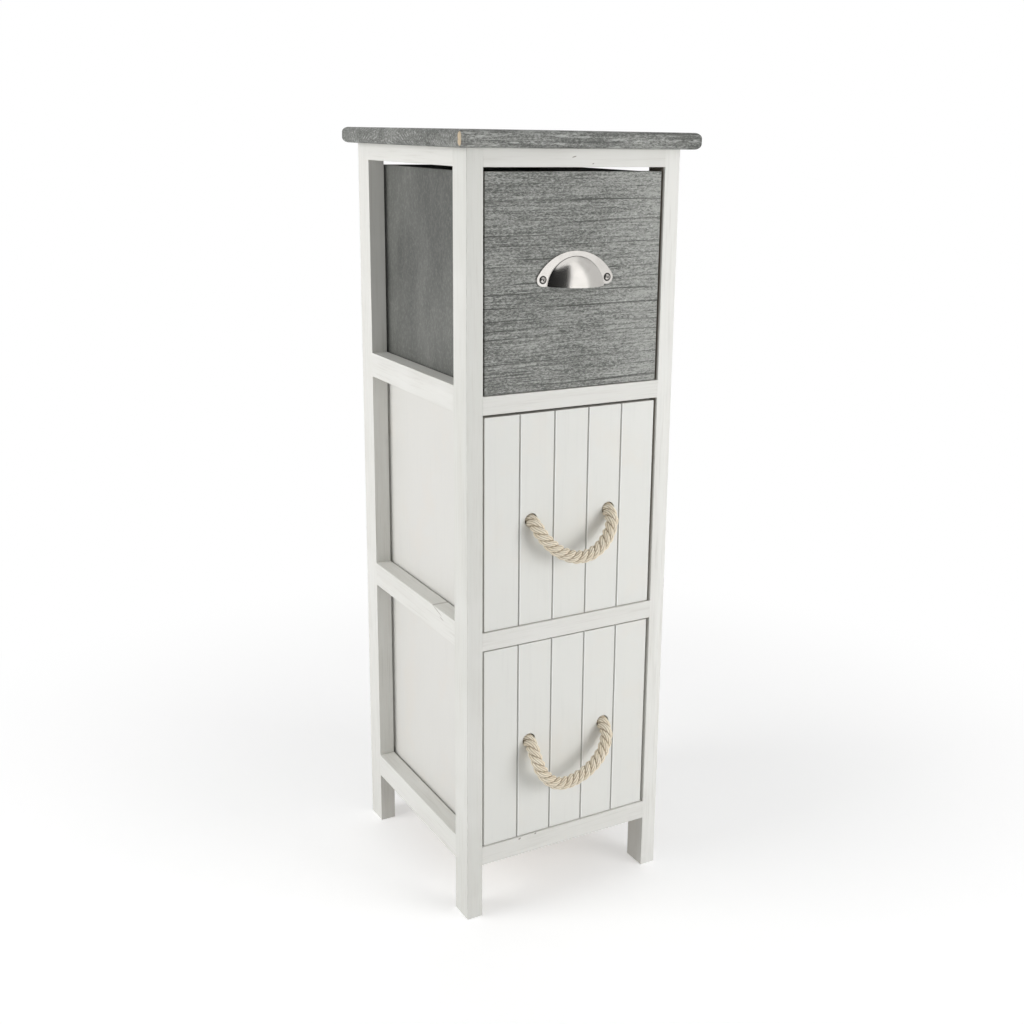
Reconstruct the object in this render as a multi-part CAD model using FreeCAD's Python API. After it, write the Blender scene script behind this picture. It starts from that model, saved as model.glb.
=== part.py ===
import FreeCAD, Part
import math
import os

# Narrow floor-standing cabinet: an open frame of square-cut rails and posts, a flat top
# and three drawers. Millimetres. X runs to the right seen from the front, the drawers
# open towards -Y and Z points up. The floor is z = 0. The frame stands a little behind
# y = 0, so that the whole cabinet with its handles is about even on both sides of it.

# Driving sizes of the frame
frame_width = 234.0
frame_depth = 258.0
frame_shift = 8.5
total_height = 800.0
top_thickness = 16.0
post_width = 17.0
post_depth = 28.0
levels = ("bottom", "lower", "upper", "top")
rail_bottoms = {"bottom": 59.0, "lower": 297.0, "upper": 537.0, "top": 767.0}
front_rail_heights = {"bottom": 20.0, "lower": 19.0, "upper": 18.0, "top": 17.0}
side_rail_height = 26.0
rail_thickness = 17.0

# Driving sizes of the top
top_overhang_side = 15.0
top_overhang_front = 15.0
top_overhang_back = 7.0
top_edge_round = 5.5

# Driving sizes of the drawers
drawer_side_gap = 2.8
drawer_lift = 0.5
drawer_top_gaps = {"lower": 2.0, "middle": 3.0, "upper": 4.0}
drawer_recess = 2.0
drawer_back_gap = 1.0
front_thickness = 12.0
side_thickness = 9.0
base_thickness = 4.0
base_height = 6.0
base_groove = 4.0
side_drop = 1.0
plank_count = 5
groove_width = 2.0
groove_depth = 1.5

# Driving sizes of the runners and the hidden fixings
runner_width = 13.0
runner_height = 12.0
dowel_radius = 3.0
dowel_in_post = 11.0
dowel_in_rail = 19.0
drawer_dowel_radius = 2.5
drawer_dowel_in_front = 7.0
drawer_dowel_in_side = 18.0
drawer_dowel_in_back = 14.0
drawer_dowel_across_side = 6.0
drawer_dowel_shares = (0.3, 0.75)
wood_clearance = 0.05
nail_radius = 0.9
nail_length = 22.0
nail_head_radius = 1.8
nail_head_height = 0.8
nail_inset = 30.0
top_screw_radius = 2.0
top_screw_head_radius = 3.8
top_screw_head_height = 2.6
top_screw_inset = 52.0
top_screw_bite = 11.0

# Driving sizes of the cup pull
pull_screw_spacing = 72.0
pull_screw_height = 107.0
pull_ear_radius = 6.5
pull_rise = 26.5
pull_flange = 1.5
hood_half_width = 31.5
hood_height = 28.5
hood_depth = 25.0
hood_wall = 1.2
pull_hole_radius = 1.7
pull_screw_radius = 1.5
pull_screw_depth = 10.0
pull_screw_head_radius = 3.1
pull_screw_head_height = 1.9
cross_slot_width = 0.9
cross_slot_length = 3.8
cross_slot_depth = 0.9

# Driving sizes of the rope handles. The two routes are points (x, y, z) from the middle
# between the two holes on the drawer's front face: out of the left hole, down and round
# into the right one. Each corner is rounded from rope_arc_share of its shorter run.
rope_diameter = 13.5
rope_arc_share = 0.45
rope_hole_clearance = 0.5
rope_hole_spacing = 90.0
rope_routes = {
    "middle": [
        (-45.0, 12.0, 0.0),
        (-45.0, -5.0, 0.0),
        (-41.0, -15.0, -13.0),
        (-26.0, -21.0, -30.0),
        (-2.0, -24.0, -40.0),
        (23.0, -22.0, -34.0),
        (41.0, -16.0, -15.0),
        (45.0, -5.0, 0.0),
        (45.0, 12.0, 0.0),
    ],
    "lower": [
        (-45.0, 12.0, 0.0),
        (-45.0, -5.0, 0.0),
        (-45.0, -15.0, -14.0),
        (-40.0, -22.0, -32.0),
        (-23.0, -25.0, -46.0),
        (2.0, -24.0, -44.0),
        (26.0, -21.0, -33.0),
        (42.0, -15.0, -15.0),
        (45.0, -5.0, 0.0),
        (45.0, 12.0, 0.0),
    ],
}
knot_radius = 17.0
knot_length = 26.0
knot_round = 8.5

# Places worked out from the driving sizes
half_width = frame_width / 2
front_y = frame_shift - frame_depth / 2
back_y = frame_shift + frame_depth / 2
top_z = total_height - top_thickness
opening_half = half_width - post_width
drawer_half = opening_half - drawer_side_gap
face_y = front_y + drawer_recess
drawer_back_y = back_y - rail_thickness - drawer_back_gap
front_dowel_y = front_y + rail_thickness / 2
rear_dowel_y = back_y - rail_thickness / 2
drawer_levels = {"upper": "upper", "middle": "lower", "lower": "bottom"}
level_above = dict(zip(levels[:-1], levels[1:]))
sides = {"left": -1, "right": 1}
X_AXIS = FreeCAD.Vector(1, 0, 0)
Y_AXIS = FreeCAD.Vector(0, 1, 0)
Z_AXIS = FreeCAD.Vector(0, 0, 1)
LEVEL_TOLERANCE = 1e-6


def block(x_span, y_span, z_span):
    """A square-cut board between two values on each axis, given in either order."""
    low = FreeCAD.Vector(min(x_span), min(y_span), min(z_span))
    high = FreeCAD.Vector(max(x_span), max(y_span), max(z_span))
    size = high - low
    return Part.makeBox(size.x, size.y, size.z, low)


def rod(radius, start, axis, length):
    """A round rod of a length along an axis."""
    return Part.makeCylinder(radius, length, FreeCAD.Vector(*start), axis)


def cut_away(shape, tools):
    """The shape less a list of solids."""
    return shape.cut(tools) if tools else shape


def rail_top(level, height):
    """Upper face of a rail. The rails of the top level end under the top board."""
    return min(rail_bottoms[level] + height, top_z)


def save(name, shape):
    """Writes one piece, or a group of like pieces, and prints its volume."""
    shape.exportStep(os.path.join("parts", name + ".step"))
    print(f"{name}: {len(shape.Solids)} solids, {shape.Volume / 1000:.1f} cm3, valid {shape.isValid()}")


def cross_dowels(radius, y, grow=0.0):
    """Dowels along X that hold a front or rear rail between two posts, with grown radius."""
    pieces = []
    for level in levels:
        z = (rail_bottoms[level] + rail_top(level, front_rail_heights[level])) / 2
        for sign in sides.values():
            start = (sign * opening_half + dowel_in_post * (sign - 1) / 2 - dowel_in_rail * (sign + 1) / 2, y, z)
            pieces.append(rod(radius + grow, start, X_AXIS, dowel_in_post + dowel_in_rail))
    return pieces


def long_dowels(radius, grow=0.0):
    """Dowels along Y that hold the side rails between a front and a rear post."""
    pieces = []
    for level in levels:
        z = (rail_bottoms[level] + rail_top(level, side_rail_height)) / 2
        for sign in sides.values():
            x = sign * (half_width - post_width / 2)
            ends = (front_y + post_depth - dowel_in_post, back_y - post_depth - dowel_in_rail)
            for y in ends:
                pieces.append(rod(radius + grow, (x, y, z), Y_AXIS, dowel_in_post + dowel_in_rail))
    return pieces


def post(sign, rear):
    """A leg and upright in one, drilled for the dowels of the rails that meet it."""
    y_outer = back_y if rear else front_y
    y_inner = y_outer + (-post_depth if rear else post_depth)
    body = block((sign * half_width, sign * opening_half), (y_outer, y_inner), (0, top_z))
    holes = long_dowels(dowel_radius, wood_clearance)
    holes += cross_dowels(dowel_radius, rear_dowel_y if rear else front_dowel_y, wood_clearance)
    return cut_away(body, [hole for hole in holes if hole.BoundBox.intersect(body.BoundBox)])


def cross_rail(level, rear):
    """A rail across the front or the back, between the two posts. At the back it is as high
    as a side rail, so that the drawer above it stops there."""
    y_outer = back_y if rear else front_y
    y_inner = y_outer + (-rail_thickness if rear else rail_thickness)
    height = side_rail_height if rear else front_rail_heights[level]
    z_span = (rail_bottoms[level], rail_top(level, height))
    body = block((-opening_half, opening_half), (y_outer, y_inner), z_span)
    holes = cross_dowels(dowel_radius, rear_dowel_y if rear else front_dowel_y, wood_clearance)
    return cut_away(body, [hole for hole in holes if hole.BoundBox.intersect(body.BoundBox)])


def top_screws(grow=0.0):
    """Countersunk screws that hold the top board, driven up through the top side rails."""
    pieces = []
    reach = top_z - rail_bottoms["top"] + top_screw_bite
    for sign in sides.values():
        x = sign * (half_width - post_width / 2)
        for y in (front_y + top_screw_inset, back_y - top_screw_inset):
            foot = FreeCAD.Vector(x, y, rail_bottoms["top"])
            shank = Part.makeCylinder(top_screw_radius + grow, reach, foot, Z_AXIS)
            head = Part.makeCone(
                top_screw_head_radius + grow, top_screw_radius + grow, top_screw_head_height, foot, Z_AXIS
            )
            pieces.append(shank.fuse(head).removeSplitter())
    return pieces


def nail_places(level):
    """Height and the two places along Y of the nails in a runner, and the runner's span in Y."""
    z_top = rail_top(level, front_rail_heights[level])
    y_span = (front_y + rail_thickness, back_y - rail_thickness)
    nail_ys = (front_y + post_depth + nail_inset, back_y - post_depth - nail_inset)
    return z_top - runner_height / 2, nail_ys, y_span, z_top


def nails(grow=0.0):
    """Nails driven outwards through each runner into the side rail, heads flush."""
    pieces = []
    for level in levels[:-1]:
        z, nail_ys, _, _ = nail_places(level)
        for sign in sides.values():
            direction = X_AXIS * sign
            x = sign * (opening_half - runner_width)
            for y in nail_ys:
                shank = rod(nail_radius + grow, (x, y, z), direction, nail_length)
                head = rod(nail_head_radius + grow, (x, y, z), direction, nail_head_height)
                pieces.append(shank.fuse(head).removeSplitter())
    return pieces


def side_rail(sign, level):
    """A rail along one side, flush with the outside of the posts."""
    z_top = rail_top(level, side_rail_height)
    body = block(
        (sign * half_width, sign * opening_half),
        (front_y + post_depth, back_y - post_depth),
        (rail_bottoms[level], z_top),
    )
    holes = long_dowels(dowel_radius, wood_clearance)
    holes += nails(wood_clearance)
    holes += top_screws(wood_clearance)
    return cut_away(body, [hole for hole in holes if hole.BoundBox.intersect(body.BoundBox)])


def runner(sign, level):
    """A strip inside a side rail, level with the front rail, that the drawer slides on."""
    _, _, y_span, z_top = nail_places(level)
    body = block(
        (sign * opening_half, sign * (opening_half - runner_width)), y_span, (z_top - runner_height, z_top)
    )
    holes = [hole for hole in nails(wood_clearance) if hole.BoundBox.intersect(body.BoundBox)]
    return cut_away(body, holes)


def top_board():
    """The top, with its upper and lower edges rounded and its upright corners left sharp."""
    body = block(
        (-half_width - top_overhang_side, half_width + top_overhang_side),
        (front_y - top_overhang_front, back_y + top_overhang_back),
        (top_z, total_height),
    )
    level_edges = [edge for edge in body.Edges if edge.BoundBox.ZLength < LEVEL_TOLERANCE]
    body = body.makeFillet(top_edge_round, level_edges)
    return cut_away(body, top_screws(wood_clearance))


def drawer_span(name):
    """Lower and upper edge of a drawer's front."""
    level = drawer_levels[name]
    low = rail_top(level, front_rail_heights[level]) + drawer_lift
    high = rail_bottoms[level_above[level]] - drawer_top_gaps[name]
    return low, high


def drawer_dowels(name, grow=0.0):
    """Dowels at the four corners of a drawer, two to a corner."""
    low, high = drawer_span(name)
    side_height = high - side_drop - low
    pieces = []
    for share in drawer_dowel_shares:
        z = low + share * side_height
        for sign in sides.values():
            x = sign * (drawer_half - side_thickness / 2)
            y = face_y + front_thickness - drawer_dowel_in_front
            length = drawer_dowel_in_front + drawer_dowel_in_side
            pieces.append(rod(drawer_dowel_radius + grow, (x, y, z), Y_AXIS, length))
            back_middle = drawer_back_y - side_thickness / 2
            inner = sign * (drawer_half - side_thickness - drawer_dowel_in_back)
            length = drawer_dowel_in_back + drawer_dowel_across_side
            pieces.append(rod(drawer_dowel_radius + grow, (inner, back_middle, z), X_AXIS * sign, length))
    return pieces


def plank_grooves(low, high):
    """V grooves that divide a front into planks of one width."""
    pieces = []
    plank = 2 * drawer_half / plank_count
    for index in range(1, plank_count):
        x = -drawer_half + index * plank
        corners = [
            FreeCAD.Vector(x - groove_width / 2, face_y, low),
            FreeCAD.Vector(x + groove_width / 2, face_y, low),
            FreeCAD.Vector(x, face_y + groove_depth, low),
        ]
        outline = Part.makePolygon(corners + corners[:1])
        pieces.append(Part.Face(outline).extrude(FreeCAD.Vector(0, 0, high - low)))
    return pieces


def base_panel(name):
    """The drawer's bottom board, let into grooves on all four sides."""
    low, _ = drawer_span(name)
    inner = drawer_half - side_thickness + base_groove
    return block(
        (-inner, inner),
        (face_y + front_thickness - base_groove, drawer_back_y - side_thickness + base_groove),
        (low + base_height, low + base_height + base_thickness),
    )


def front_panel(name):
    """A drawer front with what is cut in it for its handle, its planks and its joints."""
    low, high = drawer_span(name)
    body = block((-drawer_half, drawer_half), (face_y, face_y + front_thickness), (low, high))
    tools = drawer_dowels(name, wood_clearance) + [base_panel(name)]
    if name in rope_routes:
        tools += plank_grooves(low, high)
        for sign in sides.values():
            hole = (sign * rope_hole_spacing / 2, face_y, (low + high) / 2)
            tools.append(rod(rope_diameter / 2 + rope_hole_clearance, hole, Y_AXIS, front_thickness))
    else:
        tools += pull_screws(wood_clearance)
    return cut_away(body, [tool for tool in tools if tool.BoundBox.intersect(body.BoundBox)])


def side_panel(name, sign):
    """A drawer side, a little lower than the front."""
    low, high = drawer_span(name)
    body = block(
        (sign * drawer_half, sign * (drawer_half - side_thickness)),
        (face_y + front_thickness, drawer_back_y),
        (low, high - side_drop),
    )
    tools = drawer_dowels(name, wood_clearance) + [base_panel(name)]
    return cut_away(body, [tool for tool in tools if tool.BoundBox.intersect(body.BoundBox)])


def back_panel(name):
    """A drawer back, between the two sides."""
    low, high = drawer_span(name)
    inner = drawer_half - side_thickness
    body = block((-inner, inner), (drawer_back_y - side_thickness, drawer_back_y), (low, high - side_drop))
    tools = drawer_dowels(name, wood_clearance) + [base_panel(name)]
    return cut_away(body, [tool for tool in tools if tool.BoundBox.intersect(body.BoundBox)])


pull_z = drawer_span("upper")[0] + pull_screw_height
pull_foot_z = pull_z - pull_ear_radius


def flange_outline(y):
    """Wire of the pull's flange: one wide arc over two rounded ears and a straight foot."""
    half = pull_screw_spacing / 2
    drop = ((pull_rise - pull_ear_radius) ** 2 - half ** 2) / (2 * (pull_rise - pull_ear_radius))
    centre_z = pull_z + drop
    arc_radius = pull_z + pull_rise - centre_z
    reach = math.hypot(half, pull_z - centre_z)
    touch_x = half * arc_radius / reach
    touch_z = centre_z + (pull_z - centre_z) * arc_radius / reach
    edges = [Part.LineSegment(FreeCAD.Vector(-half, y, pull_foot_z), FreeCAD.Vector(half, y, pull_foot_z))]
    edges.append(
        Part.Arc(
            FreeCAD.Vector(half, y, pull_foot_z),
            FreeCAD.Vector(half + pull_ear_radius, y, pull_z),
            FreeCAD.Vector(touch_x, y, touch_z),
        )
    )
    edges.append(
        Part.Arc(
            FreeCAD.Vector(touch_x, y, touch_z),
            FreeCAD.Vector(0, y, pull_z + pull_rise),
            FreeCAD.Vector(-touch_x, y, touch_z),
        )
    )
    edges.append(
        Part.Arc(
            FreeCAD.Vector(-touch_x, y, touch_z),
            FreeCAD.Vector(-half - pull_ear_radius, y, pull_z),
            FreeCAD.Vector(-half, y, pull_foot_z),
        )
    )
    return Part.Wire([edge.toShape() for edge in edges])


def hood_sphere():
    """Middle and radius of the sphere that passes through both ends of the hood's foot, the
    top of its arch on the drawer front and the middle of its lip."""
    below = (hood_half_width ** 2 - hood_height ** 2) / (2 * hood_height)
    behind = (hood_half_width ** 2 - hood_depth ** 2) / (2 * hood_depth)
    middle = FreeCAD.Vector(0, face_y + behind, pull_foot_z - below)
    return middle, math.hypot(hood_half_width, behind, below)


def cup_pull():
    """A half-moon hood on a thin flange with a screw ear at each end. The hood is the part of
    a thin spherical shell in front of the drawer and above the pull's straight foot."""
    plate = Part.Face(flange_outline(face_y - pull_flange)).extrude(FreeCAD.Vector(0, pull_flange, 0))
    middle, radius = hood_sphere()
    room = block((-radius, radius), (face_y - radius, face_y), (pull_foot_z, pull_foot_z + radius))
    body = plate.fuse(Part.makeSphere(radius, middle).common(room))
    body = body.cut(Part.makeSphere(radius - hood_wall, middle))
    for sign in sides.values():
        hole = (sign * pull_screw_spacing / 2, face_y - pull_flange, pull_z)
        body = body.cut(rod(pull_hole_radius, hole, Y_AXIS, pull_flange))
    return body.removeSplitter()


def pull_screws(grow=0.0):
    """Two round-headed screws with a cross slot, which hold the pull on the drawer front."""
    pieces = []
    for sign in sides.values():
        seat = FreeCAD.Vector(sign * pull_screw_spacing / 2, face_y - pull_flange, pull_z)
        shank = Part.makeCylinder(pull_screw_radius + grow, pull_screw_depth + pull_flange, seat, Y_AXIS)
        ball = (pull_screw_head_radius ** 2 + pull_screw_head_height ** 2) / (2 * pull_screw_head_height)
        sphere = Part.makeSphere(ball, seat + Y_AXIS * (ball - pull_screw_head_height))
        seat_plate = Part.makeCylinder(pull_screw_head_radius, pull_screw_head_height, seat, -Y_AXIS)
        head = sphere.common(seat_plate)
        slots = []
        for along, across in ((cross_slot_length, cross_slot_width), (cross_slot_width, cross_slot_length)):
            y_span = (seat.y - pull_screw_head_height, seat.y - pull_screw_head_height + cross_slot_depth)
            x_span = (seat.x - along / 2, seat.x + along / 2)
            slots.append(block(x_span, y_span, (seat.z - across / 2, seat.z + across / 2)))
        pieces.append(shank.fuse(head.cut(slots)).removeSplitter())
    return pieces


def rounded_path(points):
    """Straight runs joined by tangent arcs, as large as the two runs of each point allow."""
    points = [FreeCAD.Vector(*point) for point in points]
    edges = []
    here = points[0]
    for before, corner, after in zip(points, points[1:], points[2:]):
        into = (corner - before).normalize()
        out = (after - corner).normalize()
        shorter = min((corner - before).Length, (after - corner).Length)
        turn = into.getAngle(out)
        tangent = rope_arc_share * shorter
        radius = tangent / math.tan(turn / 2)
        middle = corner + (out - into).normalize() * (math.hypot(tangent, radius) - radius)
        start = corner - into * tangent
        end = corner + out * tangent
        print(f"  turn {math.degrees(turn):.0f} degrees, radius {radius:.1f} mm, {radius / rope_diameter:.1f} diameters")
        edges.append(Part.LineSegment(here, start).toShape())
        edges.append(Part.Arc(start, middle, end).toShape())
        here = end
    edges.append(Part.LineSegment(here, points[-1]).toShape())
    return Part.Wire(edges)


def handle_points(name):
    """The rope's route in the cabinet's own frame."""
    low, high = drawer_span(name)
    return [(x, face_y + y, (low + high) / 2 + z) for x, y, z in rope_routes[name]]


def rope_handle(name):
    """The rope from knot to knot, as a plain round tube along its route."""
    path = rounded_path(handle_points(name))
    start = path.Edges[0].Vertexes[0].Point
    section = Part.Wire([Part.makeCircle(rope_diameter / 2, start, Y_AXIS)])
    tube = path.makePipeShell([section], True, False)
    share = tube.Volume / (math.pi * rope_diameter ** 2 / 4 * path.Length)
    print(f"{name} rope: length {path.Length:.1f} mm, volume is {share:.3f} of section times length")
    return tube


def rope_knots(name):
    """The two knots behind the front, each a closed barrel of the knot's outer shape."""
    pieces = []
    for x, y, z in (handle_points(name)[0], handle_points(name)[-1]):
        start = FreeCAD.Vector(x, y, z)
        barrel = Part.makeCylinder(knot_radius, knot_length, start, Y_AXIS)
        rims = [edge for edge in barrel.Edges if isinstance(edge.Curve, Part.Circle)]
        pieces.append(barrel.makeFillet(knot_round, rims))
    return pieces


def main():
    os.makedirs("parts", exist_ok=True)
    save("top_board", top_board())
    for side, sign in sides.items():
        save(f"front_{side}_post", post(sign, False))
        save(f"rear_{side}_post", post(sign, True))
        for level in levels:
            save(f"{side}_{level}_rail", side_rail(sign, level))
        for level in levels[:-1]:
            save(f"{side}_{level}_runner", runner(sign, level))
    for level in levels:
        save(f"front_{level}_rail", cross_rail(level, False))
        save(f"rear_{level}_rail", cross_rail(level, True))
    save("front_rail_dowels", Part.makeCompound(cross_dowels(dowel_radius, front_dowel_y)))
    save("rear_rail_dowels", Part.makeCompound(cross_dowels(dowel_radius, rear_dowel_y)))
    save("side_rail_dowels", Part.makeCompound(long_dowels(dowel_radius)))
    save("runner_nails", Part.makeCompound(nails()))
    save("top_screws", Part.makeCompound(top_screws()))
    for name in drawer_levels:
        save(f"{name}_drawer_front", front_panel(name))
        for side, sign in sides.items():
            save(f"{name}_drawer_{side}_side", side_panel(name, sign))
        save(f"{name}_drawer_back", back_panel(name))
        save(f"{name}_drawer_base", base_panel(name))
        save(f"{name}_drawer_dowels", Part.makeCompound(drawer_dowels(name)))
    save("cup_pull", cup_pull())
    save("cup_pull_screws", Part.makeCompound(pull_screws()))
    for name in rope_routes:
        save(f"{name}_rope_handle", rope_handle(name))
        save(f"{name}_rope_knots", Part.makeCompound(rope_knots(name)))


main()
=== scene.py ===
# %% [markdown]
# # A narrow washed-wood cabinet, dressed for its picture
# The cabinet's boards, rails and metal come ready-made and at their real size from the
# frame. This lesson gives each of them its finish, twists the two rope handles out of
# strands, and sets up a pale studio. Everything is in metres, with the drawers opening
# towards -Y and Z up.

# %% Load the frame
import math
import bpy
import numpy as np
from mathutils import Matrix, Vector


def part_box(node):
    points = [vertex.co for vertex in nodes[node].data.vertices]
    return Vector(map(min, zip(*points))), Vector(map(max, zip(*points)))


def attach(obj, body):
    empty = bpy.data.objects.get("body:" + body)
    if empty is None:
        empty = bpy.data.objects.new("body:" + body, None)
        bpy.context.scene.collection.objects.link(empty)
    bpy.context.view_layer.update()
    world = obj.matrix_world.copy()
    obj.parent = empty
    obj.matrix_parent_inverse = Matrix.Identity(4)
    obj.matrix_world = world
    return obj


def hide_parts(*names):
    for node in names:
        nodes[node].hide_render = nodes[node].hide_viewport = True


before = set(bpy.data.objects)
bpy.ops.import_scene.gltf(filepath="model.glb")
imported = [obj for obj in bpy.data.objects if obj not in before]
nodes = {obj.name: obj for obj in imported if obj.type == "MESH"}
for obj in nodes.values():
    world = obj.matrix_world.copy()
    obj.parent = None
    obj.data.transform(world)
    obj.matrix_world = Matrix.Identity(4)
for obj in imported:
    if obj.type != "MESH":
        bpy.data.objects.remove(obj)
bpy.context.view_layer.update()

# %% [markdown]
# ## The camera
# The photograph was taken from the front left, at the height of the top board and looking
# down a little. The lens's axis passes close to the cabinet's middle, and a small shift
# puts the cabinet where it lies in the picture. The place and the turn of the camera were
# worked out from the straight edges of posts and rails. Its turn is written as yaw from the
# cabinet's depth, pitch from the horizon and a small roll.

# %% Set the camera
picture_width = 1024
sensor_width = 36.0
focal_pixels = 1294.0
camera_place = Vector((-0.6453, -1.1900, 0.8020))
camera_yaw = math.radians(30.69)
camera_pitch = math.radians(-14.40)
camera_roll = math.radians(0.98)
camera_shift = (-0.05, -0.05)


def camera_axes(yaw, pitch, roll):
    """Right, up and forward of a camera that looks along +Y, turned right by yaw, raised by
    pitch and then rolled about its own axis."""
    forward = Vector((math.sin(yaw) * math.cos(pitch), math.cos(yaw) * math.cos(pitch), math.sin(pitch)))
    level = Vector((math.cos(yaw), -math.sin(yaw), 0.0))
    upright = level.cross(forward)
    right = level * math.cos(roll) + upright * math.sin(roll)
    up = upright * math.cos(roll) - level * math.sin(roll)
    return right, up, forward


def make_camera():
    data = bpy.data.cameras.new("camera")
    data.sensor_width = sensor_width
    data.lens = focal_pixels / picture_width * sensor_width
    data.shift_x, data.shift_y = camera_shift
    camera = bpy.data.objects.new("camera", data)
    right, up, forward = camera_axes(camera_yaw, camera_pitch, camera_roll)
    turn = Matrix((right, up, -forward)).transposed().to_4x4()
    camera.matrix_world = Matrix.Translation(camera_place) @ turn
    bpy.context.scene.collection.objects.link(camera)
    bpy.context.scene.camera = camera
    return camera


camera = make_camera()
print("lens:", round(camera.data.lens, 1), "mm")

# %% [markdown]
# ## The rope handles' routes
# Each rope goes out of one hole, hangs in a short stiff loop and goes back into the other
# hole. A rope is a fixed length of something flexible, so its line is one smooth spline
# whose control points are listed: out of the hole, down and round, and back up.
# The lower rope is a little longer, and hangs fuller on its left.

# %% The two routes
rope_routes = {
    "middle": [
        (-0.045, 0.012, 0.0),
        (-0.045, -0.005, 0.0),
        (-0.041, -0.015, -0.013),
        (-0.026, -0.021, -0.030),
        (-0.002, -0.024, -0.040),
        (0.023, -0.022, -0.034),
        (0.041, -0.016, -0.015),
        (0.045, -0.005, 0.0),
        (0.045, 0.012, 0.0),
    ],
    "lower": [
        (-0.045, 0.012, 0.0),
        (-0.045, -0.005, 0.0),
        (-0.045, -0.015, -0.014),
        (-0.040, -0.022, -0.032),
        (-0.023, -0.025, -0.046),
        (0.002, -0.024, -0.044),
        (0.026, -0.021, -0.033),
        (0.042, -0.015, -0.015),
        (0.045, -0.005, 0.0),
        (0.045, 0.012, 0.0),
    ],
}
print("control points:", {name: len(route) for name, route in rope_routes.items()})

# %% [markdown]
# A curve object turns the control points into a line, and a mesh made from that object
# gives the line's points. The curve itself isn't part of the cabinet and goes again.

# %% The spline along each route
spline_order = 3
spline_resolution = 24


def hole_middle(name):
    """The point midway between a drawer front's two rope holes, on its front face."""
    low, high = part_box(f"{name}_drawer_front")
    return np.array((0.0, low.y, (low.z + high.z) / 2))


def spline_points(points, name):
    """Points along one open NURBS spline that has the given control points."""
    curve = bpy.data.curves.new(name, "CURVE")
    curve.dimensions = "3D"
    curve.resolution_u = spline_resolution
    spline = curve.splines.new("NURBS")
    spline.points.add(len(points) - 1)
    for place, point in zip(points, spline.points):
        point.co = (*place, 1.0)
    spline.order_u = spline_order
    spline.use_endpoint_u = True
    guide = bpy.data.objects.new(name, curve)
    bpy.context.scene.collection.objects.link(guide)
    bpy.context.view_layer.update()
    mesh = bpy.data.meshes.new_from_object(guide)
    line = np.empty(len(mesh.vertices) * 3)
    mesh.vertices.foreach_get("co", line)
    bpy.data.meshes.remove(mesh)
    bpy.data.objects.remove(guide)
    bpy.data.curves.remove(curve)
    return line.reshape(-1, 3)


rope_lines = {
    name: spline_points(np.array(route) + hole_middle(name), f"{name}_rope_line")
    for name, route in rope_routes.items()
}
for name, line in rope_lines.items():
    print(name, "rope line:", round(float(np.linalg.norm(np.diff(line, axis=0), axis=1).sum()), 4), "m")

# %% [markdown]
# ## Twisted rope
# A three-strand rope is three fat strands wound round each other. Each strand is a tube
# whose middle runs round the rope's own line as a helix, and each strand is itself made
# of yarns, which show as fine ridges along the rope. Both are plain formulas of the length
# along the rope and the angle round the strand, so no carving is needed. A mesh is given by
# the number of points round a strand and the distance from ring to ring in metres.

# %% The rope's make
strand_count = 3
strand_radius = 0.0043
strand_offset = 0.0026
rope_lay = 0.0245
yarn_count = 9
yarn_ridge = 0.190
strand_unevenness = 0.025
end_swell = 0.050
swell_reach = 0.012
fine_mesh = (63, 0.0007)
coarse_mesh = (33, 0.0014)
chance = np.random.default_rng(11)
print("strands:", strand_count, "one turn in", rope_lay, "m")

# %% [markdown]
# A formula along a line needs points at even distances, and at each of them the way that
# the line runs and two ways across it.

# %% Even points and ways across
def even_line(line, step, closed=False):
    """The line's points spaced evenly: each coordinate interpolated over the length along it."""
    if closed:
        line = np.vstack([line, line[:1]])
    along = np.concatenate([[0.0], np.cumsum(np.linalg.norm(np.diff(line, axis=0), axis=1))])
    count = int(round(along[-1] / step)) + 1
    spots = np.linspace(0.0, along[-1], count)
    return np.stack([np.interp(spots, along, line[:, k]) for k in range(3)], axis=1), spots


def line_frame(line, across):
    """Unit tangent, normal and binormal at each point. The normal is the given direction less
    its part along the tangent, and the binormal completes a right-handed set."""
    tangent = np.gradient(line, axis=0)
    tangent /= np.linalg.norm(tangent, axis=1, keepdims=True)
    normal = across - (tangent @ across)[:, None] * tangent
    normal /= np.linalg.norm(normal, axis=1, keepdims=True)
    return tangent, normal, np.cross(tangent, normal)


print("points on the middle rope:", len(even_line(rope_lines["middle"], fine_mesh[1])[0]))

# %% [markdown]
# Hand-twisted strands are never quite even, so each one's thickness wanders a little.

# %% The skin of one strand
def uneven(along, waves=9, shortest=0.004):
    """A gentle random wave along the rope: a sum of sines of seeded lengths and phases."""
    lengths = shortest * chance.uniform(1.0, 6.0, waves)
    phases = chance.uniform(0.0, 2 * math.pi, waves)
    return np.sin(2 * math.pi * along[:, None] / lengths + phases).sum(axis=1) / math.sqrt(waves)


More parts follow.
